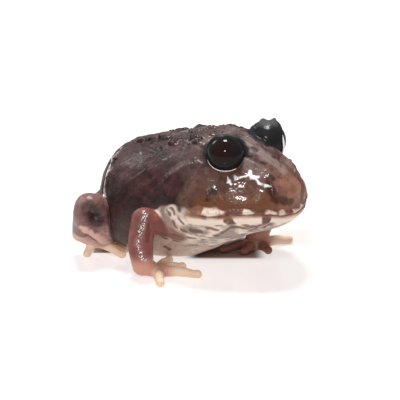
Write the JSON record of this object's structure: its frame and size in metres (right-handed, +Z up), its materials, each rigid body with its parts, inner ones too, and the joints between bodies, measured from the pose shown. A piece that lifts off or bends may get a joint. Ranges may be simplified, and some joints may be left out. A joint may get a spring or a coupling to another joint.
{
  "type": "south american horned frog",
  "caption": "Life-size still model of a young horned frog, sitting with its head raised and all limbs on the floor.",
  "frame": {"origin": "middle of the flat patch on the floor on which the belly rests", "axes": "+X towards the snout, +Y towards the frog's left side, +Z up from the floor"},
  "size_m": [0.0414, 0.0404, 0.0266],
  "materials": {
    "skin_back": "wet, glossy dark purple-brown skin",
    "skin_head": "wet, glossy brown skin, more orange at the snout",
    "skin_throat": "moist cream skin with dark brown bars and streaks",
    "skin_limb": "moist, slightly translucent reddish-pink skin",
    "skin_digit": "moist pale peach skin",
    "eyelid": "wet black skin",
    "eye": "very glossy black cornea"
  },
  "bodies": {
    "root": {"torso": "skin_back", "head": "skin_head", "lower_jaw": "skin_throat", "eye_right": "eye", "eyelid_right": "eyelid", "eye_left": "eye", "eyelid_left": "eyelid", "upper_arm_right": "skin_limb", "forearm_right": "skin_limb", "hand_right": "skin_limb", "finger_right_1": "skin_digit", "finger_right_2": "skin_digit", "finger_right_3": "skin_digit", "finger_right_4": "skin_digit", "upper_arm_left": "skin_limb", "forearm_left": "skin_limb", "hand_left": "skin_limb", "finger_left_1": "skin_digit", "finger_left_2": "skin_digit", "finger_left_3": "skin_digit", "finger_left_4": "skin_digit", "thigh_right": "skin_limb", "shank_right": "skin_limb", "foot_right": "skin_limb", "toe_right_1": "skin_digit", "toe_right_2": "skin_digit", "toe_right_3": "skin_digit", "toe_right_4": "skin_digit", "toe_right_5": "skin_digit", "thigh_left": "skin_limb", "shank_left": "skin_limb", "foot_left": "skin_limb", "toe_left_1": "skin_digit", "toe_left_2": "skin_digit", "toe_left_3": "skin_digit", "toe_left_4": "skin_digit", "toe_left_5": "skin_digit"}
  },
  "joints": []
}
